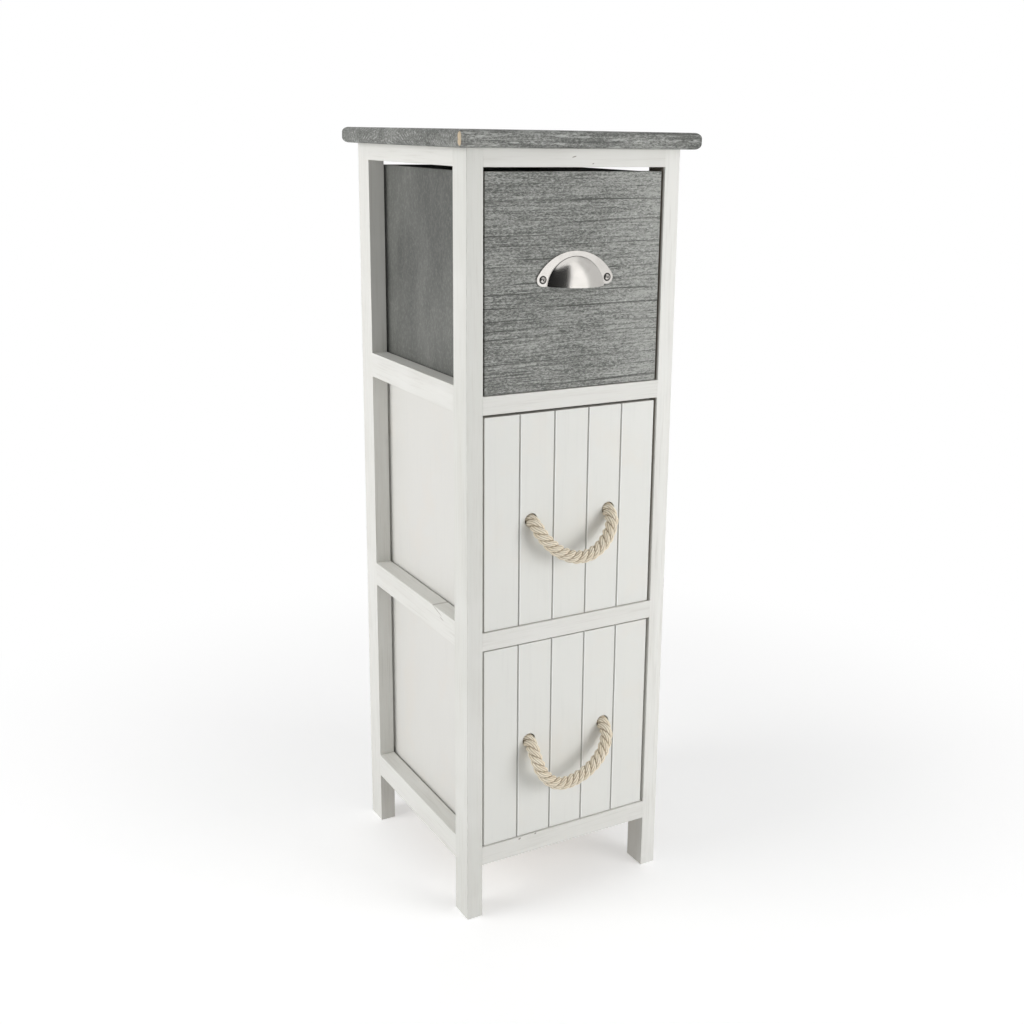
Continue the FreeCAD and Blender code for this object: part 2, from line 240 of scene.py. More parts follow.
def strand_surface(line, along, across, phase, twist, angle, swell):
    """A strand as a grid of points. Its middle is the line plus strand_offset at an angle that
    turns once in a lay. Its skin is a circle round that middle, at right angles to the line,
    with rounded ridges, one for each yarn, that stay parallel to the rope's own line."""
    tangent, normal, binormal = line_frame(line, across)
    turned = twist * 2 * math.pi * along / rope_lay
    out = np.cos(phase + turned)[:, None] * normal + np.sin(phase + turned)[:, None] * binormal
    side = np.cross(tangent, out)
    yarns = np.abs(np.cos(yarn_count / 2 * (angle[None, :] + turned[:, None])))
    radius = strand_radius * (1 + strand_unevenness * uneven(along))[:, None] * (1 - yarn_ridge * (1 - yarns))
    skin = np.cos(angle)[None, :, None] * out[:, None, :] + np.sin(angle)[None, :, None] * side[:, None, :]
    middle = line + strand_offset * swell[:, None] * out
    return middle[:, None, :] + (radius * swell[:, None])[:, :, None] * skin


print("rope thickness:", round(2 * (strand_offset + strand_radius), 4), "m")

# %% [markdown]
# A tube's points form a grid, so its faces can be numbered without a look at their places.

# %% Faces, and a piece made of them
def grid_faces(rows, columns, wrap_rows=False):
    """Quads of a grid that is closed round its columns, and along its rows too if asked."""
    last = rows if wrap_rows else rows - 1
    row, column = np.meshgrid(np.arange(last), np.arange(columns), indexing="ij")
    next_row, next_column = (row + 1) % rows, (column + 1) % columns
    corners = [
        row * columns + column,
        row * columns + next_column,
        next_row * columns + next_column,
        next_row * columns + column,
    ]
    return np.stack(corners, axis=-1).reshape(-1, 4)


def end_fans(rows, columns):
    """Triangles from the rim of the first and the last row to a point in the middle of each.
    The two middle points come after the grid's own points."""
    ring = np.arange(columns)
    far = ring + (rows - 1) * columns
    first = np.stack([np.roll(ring, -1), ring, np.full(columns, rows * columns)], axis=-1)
    last = np.stack([far, np.roll(far, -1), np.full(columns, rows * columns + 1)], axis=-1)
    return np.vstack([first, last])


def new_piece(name, points, faces, ways=None):
    """A smooth-shaded mesh object at the origin from points and faces. Ways keeps, at each
    point, the length along the rope, the share of a turn round its strand and the strand."""
    mesh = bpy.data.meshes.new(name)
    mesh.from_pydata(points.tolist(), [], faces)
    if ways is not None:
        layer = mesh.attributes.new("rope_way", "FLOAT_VECTOR", "POINT")
        layer.data.foreach_set("vector", ways.astype(np.float32).ravel())
    mesh.polygons.foreach_set("use_smooth", np.ones(len(mesh.polygons), bool))
    piece = bpy.data.objects.new(name, mesh)
    bpy.context.scene.collection.objects.link(piece)
    return piece


print("faces of a grid of 4 by 5 points:", len(grid_faces(4, 5)))

# %% [markdown]
# With these, a whole rope is a loop over its strands. The strands' turn is counted from a
# direction back and down, because neither rope ever runs that way.

# %% Twist both ropes
loop_back, loop_down = 0.5, -0.87


def twisted_rope(lines, name, across, twist=-1, closed=False, mesh_steps=fine_mesh):
    """All strands of one or more ropes as one piece. An open rope swells a little at both
    ends, where the wood presses on it, and each strand's ends are closed."""
    columns, step = mesh_steps
    angle = np.linspace(-math.pi, math.pi, columns, endpoint=False)
    points, faces, ways, start = [], [], [], 0
    for line in lines:
        even, along = even_line(line, step, closed)
        if closed:
            even, along = even[:-1], along[:-1]
        from_end = np.minimum(along, along[-1] - along)
        swell = np.ones(len(along)) if closed else 1 + end_swell * np.exp(-((from_end / swell_reach) ** 2))
        for strand in range(strand_count):
            phase = 2 * math.pi * strand / strand_count
            grid = strand_surface(even, along, across, phase, twist, angle, swell)
            parts = np.broadcast_arrays(along[:, None], angle[None, :] / (2 * math.pi), float(strand))
            way = np.stack(parts, axis=-1)
            quads = grid_faces(len(even), columns, closed) + start
            faces.extend(quads.tolist())
            points.append(grid.reshape(-1, 3))
            ways.append(way.reshape(-1, 3))
            if not closed:
                fans = end_fans(len(even), columns) + start
                faces.extend(fans.tolist())
                points.append(grid[[0, -1]].mean(axis=1))
                ways.append(way[[0, -1], 0])
            start = sum(len(group) for group in points)
    return new_piece(name, np.vstack(points), faces, np.vstack(ways))


loop_across = np.array((0.0, loop_back, loop_down)) / math.hypot(loop_back, loop_down)
rope_pieces = {}
for name, line in rope_lines.items():
    rope_pieces[name] = twisted_rope([line], f"{name}_rope_twisted", loop_across)
    print(name, "rope faces:", len(rope_pieces[name].data.polygons))

# %% [markdown]
# ## Knots behind the fronts
# Inside the drawer each rope end is tied so that it can't pull through its hole. The knot
# is two turns of the same rope round the end, tilted against each other, with a short
# tail. The turns are circles that are tipped a little, and the same strand formula twists
# them.

# %% Tie the knots
turn_radius = 0.0100
turn_tilt = math.radians(14.0)
knot_turn_places = (0.0070, 0.0187)
tail_start, tail_end = 0.001, 0.0255
circle_points = 120
tail_points = 40


def tipped_circle(middle, radius, tilt):
    """A circle about the Y axis through middle, tipped about the X axis by a small angle."""
    angle = np.linspace(0.0, 2 * math.pi, circle_points, endpoint=False)
    x, z = radius * np.cos(angle), radius * np.sin(angle)
    return middle + np.stack([x, z * math.sin(tilt), z * math.cos(tilt)], axis=1)


def knots(name):
    """Both knots of one rope: a piece with the turns and one with the tails inside them."""
    ends = (rope_lines[name][0], rope_lines[name][-1])
    turns = [
        tipped_circle(end + (0.0, place, 0.0), turn_radius, turn_tilt * sign)
        for end in ends
        for place, sign in zip(knot_turn_places, (1, -1))
    ]
    tail_span = np.array([(0.0, tail_start, 0.0), (0.0, tail_end, 0.0)])
    tails = [np.linspace(*(end + tail_span), tail_points) for end in ends]
    along_y, along_x = np.array((0.0, 1.0, 0.0)), np.array((1.0, 0.0, 0.0))
    wound = twisted_rope(turns, f"{name}_knot_turns", along_y, closed=True, mesh_steps=coarse_mesh)
    tail = twisted_rope(tails, f"{name}_knot_tails", along_x, mesh_steps=coarse_mesh)
    return [wound, tail]


knot_pieces = {name: knots(name) for name in rope_lines}
print("knot pieces:", [piece.name for pair in knot_pieces.values() for piece in pair])

# %% [markdown]
# ## Shader maths as plain expressions
# A finish is a formula on the place of each point. To write it as one, a small class wraps
# an output socket and turns + - * / into Math nodes, and another one adds any other kind
# of node from its type, its settings and its inputs.

# %% The wire
class Wire:
    """One output socket that can be added, multiplied and so on."""

    def __init__(self, finish, socket):
        self.finish = finish
        self.socket = socket

    def math(self, operation, other=0.0, first=None):
        """A Math node of this wire and another value, or of a first value and this wire."""
        values = (self, other) if first is None else (first, self)
        node = self.finish.node("Math", {"operation": operation}, dict(enumerate(values)))
        return Wire(self.finish, node.outputs[0])

    def __add__(self, other):
        return self.math("ADD", other)

    __radd__ = __add__

    def __mul__(self, other):
        return self.math("MULTIPLY", other)

    def __sub__(self, other):
        return self.math("SUBTRACT", other)

    def __rsub__(self, other):
        return self.math("SUBTRACT", first=other)

    def __truediv__(self, other):
        return self.math("DIVIDE", other)

    def __abs__(self):
        return self.math("ABSOLUTE")

    def capped(self, most=1.0):
        return self.math("MINIMUM", most)

    def smooth(self, low, high):
        """0 below low, 1 above high and a soft step between."""
        settings = {"interpolation_type": "SMOOTHSTEP"}
        node = self.finish.node("MapRange", settings, {0: self, 1: low, 2: high, 3: 0.0, 4: 1.0})
        return Wire(self.finish, node.outputs[0])

    def near(self, value, reach):
        """1 where this wire has the value, falling softly to 0 at reach from it."""
        return 1 - abs(self - value).smooth(0.0, reach)


print("a wire can be:", [name for name in vars(Wire) if not name.startswith("__")])

# %% [markdown]
# The second class holds the material that the wires belong to. Its methods add the few
# kinds of node that wood, paint, metal and cotton need.

# %% The finish
class Finish:
    """A node tree under construction: a new material's, or that of a given owner."""

    def __init__(self, name, owner=None):
        self.material = owner or bpy.data.materials.new(name)
        self.material.use_nodes = True
        self.tree = self.material.node_tree
        self.tree.nodes.clear()

    def fill(self, socket, value):
        """Links a wire to a socket, or writes a number or a colour on it."""
        if isinstance(value, Wire):
            self.tree.links.new(value.socket, socket)
        elif socket.type == "RGBA":
            socket.default_value = (*value[:3], 1.0)
        else:
            socket.default_value = value

    def node(self, kind, settings=None, inputs=None):
        """Adds a node: its settings first, then values or links on its sockets."""
        node = self.tree.nodes.new("ShaderNode" + kind)
        for key, value in (settings or {}).items():
            setattr(node, key, value)
        for key, value in (inputs or {}).items():
            self.fill(node.inputs[key], value)
        return node

    def wire(self, node, output=0):
        return Wire(self, node.outputs[output])

    def place(self, scale=(1.0, 1.0, 1.0), shift=(0.0, 0.0, 0.0)):
        """Object coordinates, scaled and moved."""
        here = self.wire(self.node("TexCoord"), "Object")
        inputs = {"Vector": here, "Location": shift, "Scale": scale}
        return self.wire(self.node("Mapping", {}, inputs))

    def parts(self, where=None):
        """The three coordinates as wires of their own."""
        node = self.node("SeparateXYZ", {}, {0: where or self.place()})
        return [self.wire(node, index) for index in range(3)]

    def noise(self, where, scale, detail=3.0, rough=0.55, warp=0.0):
        inputs = {"Vector": where, "Scale": scale, "Detail": detail, "Roughness": rough, "Distortion": warp}
        return self.wire(self.node("TexNoise", {}, inputs))

    def hairlines(self, where, scale, width, detail=1.0, warp=0.0):
        """Thin lines where a noise passes through its middle value."""
        return self.noise(where, scale, detail, 0.5, warp).near(0.5, width)

    def mix(self, share, first, second):
        """Two colours mixed by a share."""
        node = self.node("Mix", {"data_type": "RGBA"})
        for index, value in ((0, share), (6, first), (7, second)):
            self.fill(node.inputs[index], value)
        return self.wire(node, 2)

    def bump(self, height, strength, distance, under=None):
        """A bump on the surface, laid over another normal if one is given."""
        inputs = {"Height": height, "Strength": strength, "Distance": distance}
        if under is not None:
            inputs["Normal"] = under
        return self.wire(self.node("Bump", {}, inputs))

    def vector(self, operation, first, second=(0.0, 0.0, 0.0)):
        """A VectorMath node of two vectors: its vector and its number."""
        node = self.node("VectorMath", {"operation": operation}, {0: first, 1: second})
        return self.wire(node, 0), self.wire(node, 1)

    def soft_edges(self, radius):
        """The normal with the sharp arrises eased, as sandpaper leaves them."""
        return self.wire(self.node("Bevel", {"samples": 4}, {"Radius": radius}))

    def surface(self, colour, roughness, normal, **fixed):
        """The closing shader. Names in fixed are constants on the shader's own sockets."""
        inputs = {"Base Color": colour, "Roughness": roughness, "Normal": normal}
        inputs.update({key.replace("_", " "): value for key, value in fixed.items()})
        shader = self.node("BsdfPrincipled", {}, inputs)
        self.node("OutputMaterial", {}, {"Surface": self.wire(shader)})
        return self.material


print("a finish can add:", [name for name in vars(Finish) if not name.startswith("__")])

# %% [markdown]
# ## Which way the grain runs
# Wood has a direction: the grain of a rail runs along the rail. The same formula serves
# every board when its coordinates are squeezed along the grain, so one number gives how
# much longer the pattern is along the grain than across it.

# %% Grain directions
grain_stretch = 0.045
seed_shift = (0.37, 0.71, 0.13)
edge_ease = 0.0008


def along_grain(finish, axis, seed, stretch=grain_stretch):
    """Object coordinates squeezed along one axis, shifted so that boards differ."""
    scale = [1.0, 1.0, 1.0]
    scale["xyz".index(axis)] = stretch
    return finish.place(tuple(scale), shift=tuple(seed * part for part in seed_shift))


print("the grain is", round(1 / grain_stretch), "times as long as it is wide")

# %% [markdown]
# ## Off-white wash on the frame
# The rails and posts are softwood under a thin off-white wash. Up close the brush and
# the grain show as faint long streaks, and the wash is a touch thinner and warmer in
# places. A few nicks and knots show through it. They are part of this cabinet, so each
# one is a small dark ellipse at its own place on its own board. The faces that look at a
# drawer's edges get a painted shade in dark brown, nearly full high up and less lower
# down, which makes the thin gaps there look dark brown.

# %% The wash's colours and nicks
rail_white = (0.765, 0.760, 0.722)
post_whites = {"front_left_post": (0.722, 0.722, 0.683), "front_right_post": (0.815, 0.812, 0.775)}
wash_thin = (0.600, 0.585, 0.540)
wash_bright = (0.815, 0.812, 0.785)
nick_brown = (0.200, 0.165, 0.130)
gap_shade_brown = (0.235, 0.195, 0.145)
wash_nicks = {
    "front_top_rail": [(-0.0040, 0.7765, 0.0026, 0.0006), (0.0170, 0.7702, 0.0012, 0.0005)],
    "front_bottom_rail": [(-0.0560, 0.0772, 0.0016, 0.0011), (-0.0370, 0.0780, 0.0012, 0.0009)],
}
side_nicks = {"left_lower_rail": [(-0.0500, 0.3205, 0.0130, 0.0008), (-0.0620, 0.3150, 0.0050, 0.0006)]}
nick_shares = {"x": 0.75, "y": 0.45}
nick_lean = 0.25
print("boards with nicks:", [*wash_nicks, *side_nicks])

# %% [markdown]
# Only a thin skin of a board belongs to the face that looks at a drawer, so the painted
# shade there is a mask of three parts: within that skin, behind the fronts, and high up.

# %% Faces that look at a drawer
gap_shade_from, gap_shade_to = 0.05, 0.60
skin, fade = 0.0002, 0.0015


def gap_painted_shade(finish, name):
    """How much painted shade the faces of a front post or rail get that look at a drawer's
    edges, from the plane of the drawers' fronts backwards: 1 high up, less further down, elsewhere 0."""
    x, y, z = finish.parts()
    low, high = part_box(name)
    if name.endswith("_post"):
        inner = (min(abs(low.x), abs(high.x)) + 2 * skin - abs(x)).smooth(0.0, skin)
    else:
        middle, half = (low.z + high.z) / 2, (high.z - low.z) / 2
        inner = abs(z - middle).smooth(half - 2 * skin, half - skin)
    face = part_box("middle_drawer_front")[0].y
    return inner * y.smooth(face, face + fade) * z.smooth(gap_shade_from, gap_shade_to)


# The painted shade in the gaps is full above the first height and gone below the second.
print("bare above", gap_shade_to, "m, washed below", gap_shade_from, "m")

# %% [markdown]
# One board's wash is a white, thinner in streaks and brighter in clouds, with the nicks and
# the painted shade of the gap faces laid over it. The streaks also press a little relief into the paint.

# %% The wash on one board
def frame_wash(name, axis, white, nicks, nick_axis):
    """The wash on one board. A nick is given by its middle along the board and its height,
    then by its half length and half height."""
    finish = Finish(f"{name}_wash")
    seed = sum(map(ord, name)) % 97
    grain_place = along_grain(finish, axis, seed)
    streaks = finish.noise(grain_place, 430.0, 4.0, 0.62)
    broad = finish.noise(grain_place, 75.0, 2.0, 0.5, 0.4)
    cloud = finish.noise(finish.place(shift=(0.0, 0.0, seed)), 10.0, 2.0)
    hair = finish.hairlines(along_grain(finish, axis, seed + 1, 0.012), 60.0, 0.010)
    thin = streaks.smooth(0.46, 0.80) * 0.45 + broad.smooth(0.48, 0.75) * 0.22
    colour = finish.mix(thin, white, wash_thin)
    colour = finish.mix(cloud.smooth(0.42, 0.72) * 0.45, colour, wash_bright)
    colour = finish.mix(hair * streaks.smooth(0.40, 0.60) * 0.35, colour, wash_thin)
    if nicks:
        x, y, z = finish.parts()
        across = x if nick_axis == "x" else y
        for middle, height, half_long, half_high in nicks:
            along_part = (across - middle) / half_long
            high_part = (z - height - (across - middle) * nick_lean) / half_high
            inside = 1 - (along_part * along_part + high_part * high_part).smooth(0.4, 1.2)
            colour = finish.mix(inside * nick_shares[nick_axis], colour, nick_brown)
    # Painted shade: a dark brown on the faces beside the drawers' edges.
    if name.startswith("front_"):
        colour = finish.mix(gap_painted_shade(finish, name) * 0.85, colour, gap_shade_brown)
    relief = streaks * 0.6 + broad * 0.4 - hair * 0.3
    normal = finish.bump(relief, 0.26, 0.0006, finish.soft_edges(edge_ease))
    return finish.surface(colour, 0.48 + streaks * 0.14, normal, Specular_IOR_Level=0.35)


print("the wash goes from", wash_thin, "to", wash_bright)

# %% [markdown]
# A piece of the frame gets its finish by a new material alone: its mesh stays as it is.

# %% Wash every board of the frame
def dress(name, material):
    """Gives a piece of the frame its finish."""
    nodes[name].data.materials.clear()
    nodes[name].data.materials.append(material)


frame_boards = [name for name in nodes if name.endswith(("_post", "_rail", "_runner"))]
for name in frame_boards:
    across = name.split("_")[0] in ("front", "rear")
    axis = "z" if name.endswith("_post") else "x" if across else "y"
    white = post_whites.get(name, rail_white)
    nicks = wash_nicks.get(name, side_nicks.get(name, []))
    dress(name, frame_wash(name, axis, white, nicks, "x" if name in wash_nicks else "y"))
print("boards with the wash:", len(frame_boards))

# %% [markdown]
# ## Grey wash on the top and the upper drawer
# The grey boards are brushed wood: the soft grain is worn down, dark wash sits in the
# pores and a pale one lies over the ridges. So a fine speckle, drawn out along the grain,
# runs between a dark and a pale grey. Over it lie a few long hairlines, and a denser
# set of them where the growth rings come close together. The rings themselves are
# circles round a line under the board: they make long lines on its face and arcs on its
# ends, as in a real board. Where hands and cloths rub the rounded arrises, they are pale.

# %% The greys, ring lines and shared grain
grey_dark = (0.092, 0.096, 0.088)
grey_light = (0.405, 0.412, 0.388)
grey_line = (0.060, 0.062, 0.056)
grey_pale = (0.640, 0.650, 0.625)
raw_wood = (0.640, 0.520, 0.360)


def ring_lines(finish, across, seed, spacing, reach):
    """Thin dark lines along X. The way across the board is pushed to and fro by a slow noise
    and divided by the spacing, and a line lies wherever the result passes a half, so the
    lines keep one thickness while their distances vary. A second noise fades them in places."""
    push = finish.noise(along_grain(finish, "x", seed, 0.10), 1 / (7 * spacing), 2.0)
    turns = (across + (push - 0.5) * (4 * spacing)) / spacing
    fade = finish.noise(along_grain(finish, "x", seed + 1, 0.09), 1.3 / spacing, 2.0).smooth(0.38, 0.60)
    return turns.math("FRACT").near(0.5, reach / spacing) * fade


def grey_grain(finish, seed):
    """The speckle, the fibres and the slow cloud that all grey boards share."""
    speckle = finish.noise(along_grain(finish, "x", seed, 0.36), 900.0, 3.0, 0.8)
    fibre = finish.noise(along_grain(finish, "x", seed + 2, 0.040), 520.0, 3.0, 0.6)
    cloud = finish.noise(along_grain(finish, "x", seed + 4, 0.45), 26.0, 3.0, 0.55)
    return speckle, fibre, cloud


print("greys from", grey_dark, "to", grey_light)

# %% [markdown]
# The drawer front shows single long lines wide apart and dense ones close together, most of
# them low down. Towards its right edge it gets paler and more flecked.

# %% The upper drawer's front
front_sparse = {"seed": 13, "spacing": 0.0120, "reach": 0.0011}
front_dense = {"seed": 23, "spacing": 0.0042, "reach": 0.0009}
foot_reach = 0.075
right_from = 0.010


def grey_front():
    """The upper drawer's front: speckle and fibre between two greys, lines, pale flecks."""
    finish = Finish("grey_front_wash")
    low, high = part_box("upper_drawer_front")
    x, _, z = finish.parts()
    speckle, fibre, cloud = grey_grain(finish, 7)
    sparse = ring_lines(finish, z, **front_sparse)
    dense = ring_lines(finish, z, **front_dense)
    near_foot = 1 - z.smooth(low.z, low.z + foot_reach)
    near_right = x.smooth(right_from, high.x)
    tone = speckle * 0.68 + fibre * 0.32 + (cloud - 0.5) * 0.14 + near_right * 0.060
    colour = finish.mix(tone.smooth(0.380, 0.650), grey_dark, grey_light)
    crowded = (cloud.smooth(0.45, 0.62) * 0.55 + near_foot * 0.40).capped(0.8)
    colour = finish.mix(dense * crowded, colour, grey_line)
    colour = finish.mix(sparse * 0.95, colour, grey_line)
    flecks = finish.noise(along_grain(finish, "x", 31, 0.30), 700.0, 2.0)
    colour = finish.mix(flecks.smooth(0.60, 0.72) * (0.40 + near_right * 0.35), colour, grey_pale)
    relief = speckle * 0.5 + fibre * 0.4 - sparse * 0.6 - dense * 0.2
    normal = finish.bump(relief, 0.40, 0.0007, finish.soft_edges(edge_ease))
    return finish.surface(colour, 0.50 + speckle * 0.20, normal, Specular_IOR_Level=0.40)


dress("upper_drawer_front", grey_front())
print("grey front dressed")

# %% [markdown]
# On the top board, the rings are cut by its face and by its ends. The pale wash lies on
# them in short broken strokes, the arrises are rubbed, and a chip at the front left corner
# shows the wood.

# %% The top board
ring_pith = (0.030, 0.712)
ring_spacing = 0.0034
ring_wobble = 2.4
top_sparse = {"seed": 33, "spacing": 0.0100, "reach": 0.0010}
end_grain = (0.0060, 0.0045)
arris_reach = (0.0045, 0.0080)
chip_along_x = (0.0032, 0.0020)
chip_along_y = (0.0022, 0.0008)


def grey_top():
    """The top board: as the front, with the rings' strokes, darker ends, rubbed arrises and
    the chip. The distance from the pith, divided by the rings' spacing, counts the rings."""
    finish = Finish("grey_top_wash")
    low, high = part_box("top_board")
    x, y, z = finish.parts()
    speckle, fibre, cloud = grey_grain(finish, 17)
    sparse = ring_lines(finish, y, **top_sparse)
    from_y, from_z = y - ring_pith[0], z - ring_pith[1]
    from_pith = (from_y * from_y + from_z * from_z).math("SQRT")
    wobble = finish.noise(along_grain(finish, "x", 5, 0.25), 34.0, 2.0)
    turns = from_pith / ring_spacing + wobble * ring_wobble
    ring = turns.math("FRACT").near(0.5, 0.34)
    tone = speckle * 0.70 + fibre * 0.30 + (cloud - 0.5) * 0.35
    colour = finish.mix(tone.smooth(0.41, 0.68), grey_dark, grey_light)
    colour = finish.mix(sparse * 0.55, colour, grey_line)
    broken = finish.noise(finish.place((0.22, 0.22, 1.0), (2.0, 0.0, 0.0)), 300.0, 3.0, 0.65)
    strokes = ring * broken.smooth(0.48, 0.60)
    colour = finish.mix(strokes * 0.50, colour, grey_pale)
    end_share = abs(x).smooth(high.x - end_grain[0], high.x - end_grain[1])
    colour = finish.mix(end_share * 0.12, colour, grey_dark)
    middle = (low.z + high.z) / 2
    arris = abs(z - middle).smooth(*arris_reach)
    rubbed = finish.noise(along_grain(finish, "x", 41, 0.12), 300.0, 3.0, 0.65).smooth(0.52, 0.68)
    colour = finish.mix(arris * rubbed * 0.60, colour, grey_pale)
    at_left = (0 - x).smooth(high.x - chip_along_x[0], high.x - chip_along_x[1])
    at_front = (0 - y).smooth(-low.y - chip_along_y[0], -low.y - chip_along_y[1])
    worn = at_left * at_front * finish.noise(finish.place(), 160.0, 2.0).smooth(0.30, 0.45)
    colour = finish.mix(worn, colour, raw_wood)
    relief = speckle * 0.5 + fibre * 0.3 + strokes * 0.3 - sparse * 0.4
    normal = finish.bump(relief, 0.40, 0.0007)
    return finish.surface(colour, 0.50 + speckle * 0.20, normal, Specular_IOR_Level=0.40)


dress("top_board", grey_top())
print("top board dressed")

# %% [markdown]
# ## Smooth grey sides of the upper drawer
# Seen through the open side of the frame, the drawer's side is smoother than its front:
# a darker, even grey stain, a little cloudy, with the grain running upright and a very
# fine mottle.

# %% The grey stain
stain_dark = (0.098, 0.101, 0.094)
stain_light = (0.215, 0.219, 0.203)


def grey_stain():
    """The stain: clouds and a fine mottle between two dark greys, with painted light that makes it paler
    towards the foot.
    """
    finish = Finish("grey_side_stain")
    low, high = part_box("upper_drawer_left_side")
    z = finish.parts()[2]
    cloud = finish.noise(along_grain(finish, "z", 4, 0.35), 16.0, 3.0, 0.5, 0.5)
    mottle = finish.noise(along_grain(finish, "z", 8, 0.6), 420.0, 4.0, 0.8)
    grain = finish.noise(along_grain(finish, "z", 1), 260.0, 3.0)
    near_foot = 1 - z.smooth(low.z, (low.z + high.z) / 2)
    share = cloud.smooth(0.35, 0.68) * 0.45 + mottle.smooth(0.44, 0.66) * 0.55
    # Painted light: the stain gets paler towards the foot.
    share = share + grain * 0.15 + near_foot * 0.22 - 0.12
    colour = finish.mix(share.capped(), stain_dark, stain_light)
    normal = finish.bump(mottle * 0.5 + grain * 0.5, 0.18, 0.0005, finish.soft_edges(edge_ease))
    return finish.surface(colour, 0.50 + mottle * 0.12, normal, Specular_IOR_Level=0.4)


stain = grey_stain()
for name in ("upper_drawer_left_side", "upper_drawer_right_side", "upper_drawer_back"):
    dress(name, stain)
print("stain on the upper drawer's sides and back")

# %% [markdown]
# ## White paint on the two lower drawers
# The plank fronts and the sides are painted rather than washed: a smooth off-white with
# hardly any grain and a slight orange peel from the roller. Each V groove has a painted
# shade of grey along it and a painted highlight just to its right. Cool on the fronts,
# the paint is a touch warmer on the sides.

# %% The paint
front_white = (0.778, 0.780, 0.745)
side_white = (0.722, 0.714, 0.682)
groove_shade_grey = (0.200, 0.196, 0.184)
groove_highlight_white = (0.960, 0.960, 0.940)
paint_shading = 0.93
paint_warming = (1.01, 0.985, 0.965)
plank_count = 5
groove_shade, groove_shade_reach = -0.0002, 0.0009
highlight_offset, highlight_reach = 0.0014, 0.0008


def drawer_paint(name, axis, white, seed, planks=False):
    """Off-white paint. With planks, the way across the front is counted in planks, and the
    distance from the nearest whole number gives the painted shade in each groove and the painted highlight
    beside it."""
    finish = Finish(name)
    grain = finish.noise(along_grain(finish, axis, seed), 300.0, 3.0)
    cloud = finish.noise(finish.place(shift=(0.0, seed, 0.0)), 9.0, 2.0)
    peel = finish.noise(finish.place(), 900.0, 2.0)
    shade = tuple(part * paint_shading for part in white)
    warm = tuple(part * gain for part, gain in zip(white, paint_warming))
    patches = finish.noise(finish.place(), 23.0, 3.0)
    colour = finish.mix(grain.smooth(0.52, 0.80) * 0.40 + cloud.smooth(0.45, 0.80) * 0.30, white, shade)
    colour = finish.mix(patches.smooth(0.50, 0.72) * 0.6, colour, warm)
    if planks:
        low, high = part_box("middle_drawer_front")
        plank = (high.x - low.x) / plank_count
        across = (finish.parts()[0] - low.x) / plank
        from_groove = (across - across.math("ROUND")) * plank
        inner = abs(across - plank_count / 2).math("LESS_THAN", plank_count / 2 - 0.5)
        # Painted shade along each groove, and a painted highlight just to its right.
        groove_painted_shade = from_groove.near(groove_shade, groove_shade_reach) * inner
        colour = finish.mix(from_groove.near(highlight_offset, highlight_reach) * inner, colour, groove_highlight_white)
        colour = finish.mix(groove_painted_shade * 0.80, colour, groove_shade_grey)
    normal = finish.bump(grain * 0.5 + peel * 0.5, 0.12, 0.0004, finish.soft_edges(edge_ease))
    return finish.surface(colour, 0.40 + cloud * 0.08, normal, Specular_IOR_Level=0.40)


plank_paint = drawer_paint("plank_front_paint", "z", front_white, 2, planks=True)
side_paint = drawer_paint("drawer_side_paint", "z", side_white, 5)
for drawer in ("middle", "lower"):
    dress(f"{drawer}_drawer_front", plank_paint)
    for part in ("left_side", "right_side", "back"):
        dress(f"{drawer}_drawer_{part}", side_paint)
print("painted drawers: middle, lower")

# %% [markdown]
# ## Bare wood and zinc inside
# The base boards, dowels, nails and long screws are hidden at rest. They still get what
# they have: thin bare board with a long figure, turned beech, and bright zinc.

# %% Bare board, beech and zinc
board_light = (0.640, 0.500, 0.330)
board_dark = (0.440, 0.310, 0.180)
zinc_grey = (0.560, 0.570, 0.580)
zinc_dull = (0.42, 0.43, 0.44)
metal_edge = 0.0004


def bare_wood(name, axis, scale):
    """Unpainted wood: a long figure between a light and a dark brown, with fine pores."""
    finish = Finish(name)
    figure = finish.noise(along_grain(finish, axis, 6, 0.06), scale, 4.0, 0.6, 0.6)
    pores = finish.noise(along_grain(finish, axis, 9, 0.10), scale * 7, 3.0)
    shade = figure.smooth(0.35, 0.70) * 0.8 + pores.smooth(0.55, 0.75) * 0.2
    colour = finish.mix(shade, board_light, board_dark)
    normal = finish.bump(figure * 0.4 + pores * 0.6, 0.2, 0.0004, finish.soft_edges(edge_ease * 0.5))
    return finish.surface(colour, 0.55 + pores * 0.12, normal)


def metal_skin(finish, axis, brushing):
    """The two patterns of all metal here: a fine brushed grain along one axis, and smudges."""
    brushed = finish.noise(along_grain(finish, axis, 3, 0.03), brushing, 3.0)
    return brushed, finish.noise(finish.place(), 70.0, 3.0)


def metal_surface(finish, colour, rough, skin_parts, normal_under):
    """The closing shader of a metal: a little rougher where it is brushed or smudged."""
    brushed, smudge = skin_parts
    normal = finish.bump(brushed, 0.05, 0.0002, normal_under)
    return finish.surface(colour, rough + brushed * 0.10 + smudge * 0.05, normal, Metallic=1.0)


def bright_zinc():
    finish = Finish("bright_zinc")
    skin_parts = metal_skin(finish, "z", 900.0)
    shade = finish.mix(skin_parts[1].smooth(0.45, 0.75) * 0.4, zinc_grey, zinc_dull)
    return metal_surface(finish, shade, 0.25, skin_parts, finish.soft_edges(metal_edge))


bare_board = bare_wood("bare_base_board", "x", 60.0)
beech = bare_wood("bare_beech", "y", 220.0)
zinc = bright_zinc()
for name in nodes:
    if name.endswith("_base"):
        dress(name, bare_board)
    elif name.endswith("_dowels"):
        dress(name, beech)
    elif name in ("runner_nails", "top_screws"):
        dress(name, zinc)
print("hidden finishes:", bare_board.name, beech.name, zinc.name)

